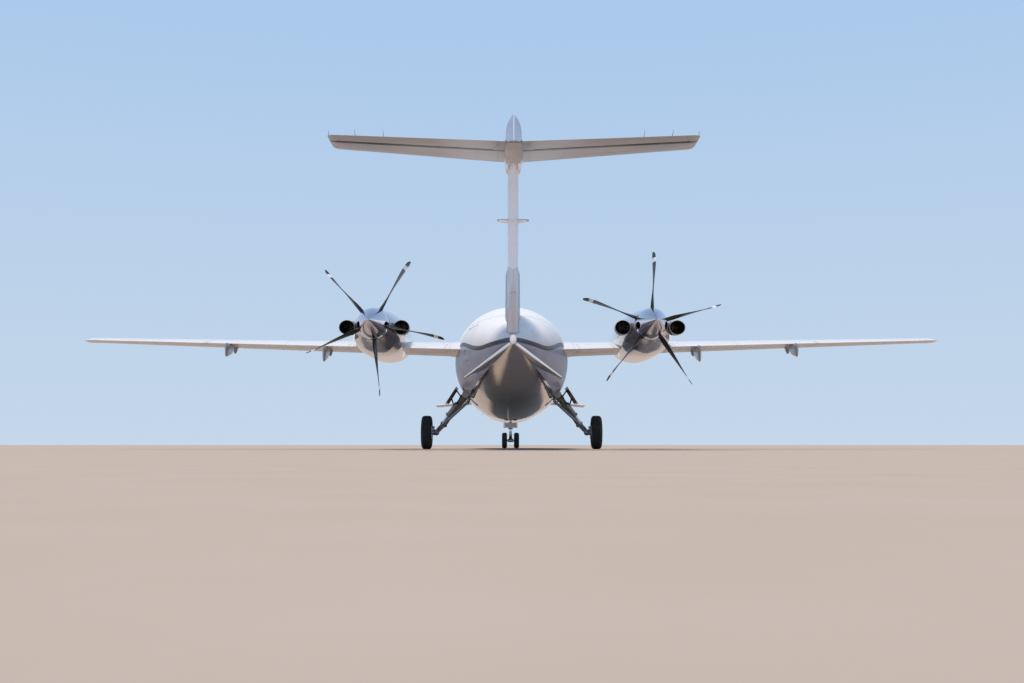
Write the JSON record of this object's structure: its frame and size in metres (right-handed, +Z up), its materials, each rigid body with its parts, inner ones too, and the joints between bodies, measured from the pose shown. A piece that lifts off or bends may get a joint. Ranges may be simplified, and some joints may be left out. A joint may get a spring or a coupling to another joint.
{
  "type": "turboprop business plane",
  "caption": "Business aircraft with a straight mid wing, small forward wing, T-tail, pusher propellers behind the wing and retractable tricycle gear, parked on its wheels.",
  "frame": {"origin": "centre of the overall box's base, on the ground under the middle of the aircraft", "axes": "+Y forwards to the nose, +X to starboard, +Z up"},
  "size_m": [14.03, 14.41, 3.98],
  "materials": {
    "black_blade": "satin",
    "chrome_spinner": "polished",
    "dark_trim": "matte",
    "engine_metal": "satin",
    "exhaust_steel": "matte",
    "grey_composite": "gloss",
    "leg_metal": "satin",
    "seat_leather": "satin",
    "tyre_rubber": "matte",
    "wheel_metal": "satin",
    "white_composite": "gloss",
    "white_paint": "gloss",
    "window_glass": "gloss"
  },
  "bodies": {
    "airframe": {"nose_cone": "white_composite", "nose_section": "white_paint", "cabin_shell": "white_paint", "rear_fuselage": "white_paint", "tail_cone": "grey_composite", "cockpit_glass": "window_glass", "window_panes_right": "window_glass", "window_panes_left": "window_glass", "cabin_floor": "dark_trim", "seats": "seat_leather", "wing": "white_paint", "nacelle_right": "white_composite", "nacelle_left": "white_composite", "engine_right": "engine_metal", "engine_left": "engine_metal", "exhaust_right": "exhaust_steel", "exhaust_left": "exhaust_steel", "canard": "white_composite", "fin": "white_composite", "tailplane": "white_composite", "main_leg_right": "leg_metal", "main_leg_left": "leg_metal", "gear_door_right": "white_composite", "gear_door_left": "white_composite", "nose_strut": "leg_metal", "nose_gear_doors": "white_composite"},
    "propeller_left": {"propeller_left": "black_blade", "spinner_left": "chrome_spinner"},
    "propeller_right": {"propeller_right": "black_blade", "spinner_right": "chrome_spinner"},
    "main_wheel_left": {"main_tyre_left": "tyre_rubber", "main_rim_left": "wheel_metal"},
    "main_wheel_right": {"main_tyre_right": "tyre_rubber", "main_rim_right": "wheel_metal"},
    "nose_fork": {"nose_fork": "leg_metal"},
    "nose_wheels": {"nose_tyre_left": "tyre_rubber", "nose_tyre_right": "tyre_rubber", "nose_rims": "wheel_metal"},
    "outer_flap_left": {"outer_flap_left": "white_composite"},
    "outer_flap_right": {"outer_flap_right": "white_composite"},
    "inner_flap_left": {"inner_flap_left": "white_composite"},
    "inner_flap_right": {"inner_flap_right": "white_composite"},
    "canard_flap_left": {"canard_flap_left": "white_composite"},
    "canard_flap_right": {"canard_flap_right": "white_composite"},
    "aileron_left": {"aileron_left": "white_composite"},
    "aileron_right": {"aileron_right": "white_composite"},
    "elevator_left": {"elevator_left": "white_composite"},
    "elevator_right": {"elevator_right": "white_composite"},
    "rudder": {"rudder": "white_composite"},
    "door_upper": {"door_upper": "white_paint"},
    "door_lower": {"door_lower": "white_paint"},
    "baggage_door": {"baggage_door": "white_composite"}
  },
  "joints": [
    {"name": "propeller_left_spin", "type": "hinge", "parent": "airframe", "child": "propeller_left", "pos_m": [-2.065, -3.018, 1.862], "axis": [0, 1, 0], "continuous": true},
    {"name": "propeller_right_spin", "type": "hinge", "parent": "airframe", "child": "propeller_right", "pos_m": [2.065, -3.018, 1.862], "axis": [0, 1, 0], "continuous": true},
    {"name": "main_wheel_left_spin", "type": "hinge", "parent": "airframe", "child": "main_wheel_left", "pos_m": [-1.42, -0.583, 0.28], "axis": [1, 0, 0], "continuous": true},
    {"name": "main_wheel_right_spin", "type": "hinge", "parent": "airframe", "child": "main_wheel_right", "pos_m": [1.42, -0.583, 0.28], "axis": [1, 0, 0], "continuous": true},
    {"name": "nose_steering", "type": "hinge", "parent": "airframe", "child": "nose_fork", "pos_m": [0, 5.217, 0.3], "axis": [0, 0, 1], "range_deg": [-50, 50]},
    {"name": "nose_wheels_spin", "type": "hinge", "parent": "nose_fork", "child": "nose_wheels", "pos_m": [0, 5.205, 0.168], "axis": [1, 0, 0], "continuous": true},
    {"name": "outer_flap_left_hinge", "type": "hinge", "parent": "airframe", "child": "outer_flap_left", "pos_m": [-2.56, -1.44914, 1.65512], "axis": [0.9966, -0.0764, -0.0303], "range_deg": [0, 35]},
    {"name": "outer_flap_right_hinge", "type": "hinge", "parent": "airframe", "child": "outer_flap_right", "pos_m": [2.56, -1.44914, 1.65512], "axis": [0.9966, 0.0764, 0.0303], "range_deg": [0, 35]},
    {"name": "inner_flap_left_hinge", "type": "hinge", "parent": "airframe", "child": "inner_flap_left", "pos_m": [-1.03, -1.56644, 1.60853], "axis": [0.9966, -0.0764, -0.0303], "range_deg": [0, 35]},
    {"name": "inner_flap_right_hinge", "type": "hinge", "parent": "airframe", "child": "inner_flap_right", "pos_m": [1.03, -1.56644, 1.60853], "axis": [0.9966, 0.0764, 0.0303], "range_deg": [0, 35]},
    {"name": "canard_flap_left_hinge", "type": "hinge", "parent": "airframe", "child": "canard_flap_left", "pos_m": [-0.6, 5.49568, 1.0225], "axis": [0.9955, -0.036, 0.0871], "range_deg": [0, 35]},
    {"name": "canard_flap_right_hinge", "type": "hinge", "parent": "airframe", "child": "canard_flap_right", "pos_m": [0.6, 5.49568, 1.0225], "axis": [0.9955, 0.036, -0.0871], "range_deg": [0, 35]},
    {"name": "aileron_left_hinge", "type": "hinge", "parent": "airframe", "child": "aileron_left", "pos_m": [-4.93, -1.29675, 1.72493], "axis": [0.9962, -0.0815, -0.0307], "range_deg": [-20, 20]},
    {"name": "aileron_right_hinge", "type": "hinge", "parent": "airframe", "child": "aileron_right", "pos_m": [4.93, -1.29675, 1.72493], "axis": [0.9962, 0.0815, 0.0307], "range_deg": [-20, 20]},
    {"name": "elevator_left_hinge", "type": "hinge", "parent": "airframe", "child": "elevator_left", "pos_m": [-0.26, -6.05473, 3.74214], "axis": [0.8796, 0.4693, 0.0773], "range_deg": [-14, 14]},
    {"name": "elevator_right_hinge", "type": "hinge", "parent": "airframe", "child": "elevator_right", "pos_m": [0.26, -6.05473, 3.74214], "axis": [0.8796, -0.4693, -0.0773], "range_deg": [-14, 14]},
    {"name": "rudder_hinge", "type": "hinge", "parent": "airframe", "child": "rudder", "pos_m": [0, -4.71964, 1.7], "axis": [0, -0.4795, 0.8775], "range_deg": [-25, 25]},
    {"name": "door_upper_hinge", "type": "hinge", "parent": "airframe", "child": "door_upper", "pos_m": [-0.73149, 3.54678, 1.95], "axis": [0.1686, 0.9857, 0], "range_deg": [0, 80]},
    {"name": "door_lower_hinge", "type": "hinge", "parent": "airframe", "child": "door_lower", "pos_m": [-0.53627, 3.55002, 0.69], "axis": [0.0603, 0.9982, 0], "range_deg": [-85, 0]},
    {"name": "baggage_door_hinge", "type": "hinge", "parent": "airframe", "child": "baggage_door", "pos_m": [-0.56729, -2.66402, 1.85], "axis": [-0.2337, 0.9723, 0], "range_deg": [0, 55]}
  ],
  "couplings": [
    {"joint": "outer_flap_right_hinge", "follows": "outer_flap_left_hinge", "ratio": 1},
    {"joint": "inner_flap_left_hinge", "follows": "outer_flap_left_hinge", "ratio": 1},
    {"joint": "inner_flap_right_hinge", "follows": "outer_flap_left_hinge", "ratio": 1},
    {"joint": "canard_flap_left_hinge", "follows": "outer_flap_left_hinge", "ratio": 1},
    {"joint": "canard_flap_right_hinge", "follows": "outer_flap_left_hinge", "ratio": 1},
    {"joint": "aileron_right_hinge", "follows": "aileron_left_hinge", "ratio": -1},
    {"joint": "elevator_right_hinge", "follows": "elevator_left_hinge", "ratio": 1}
  ]
}
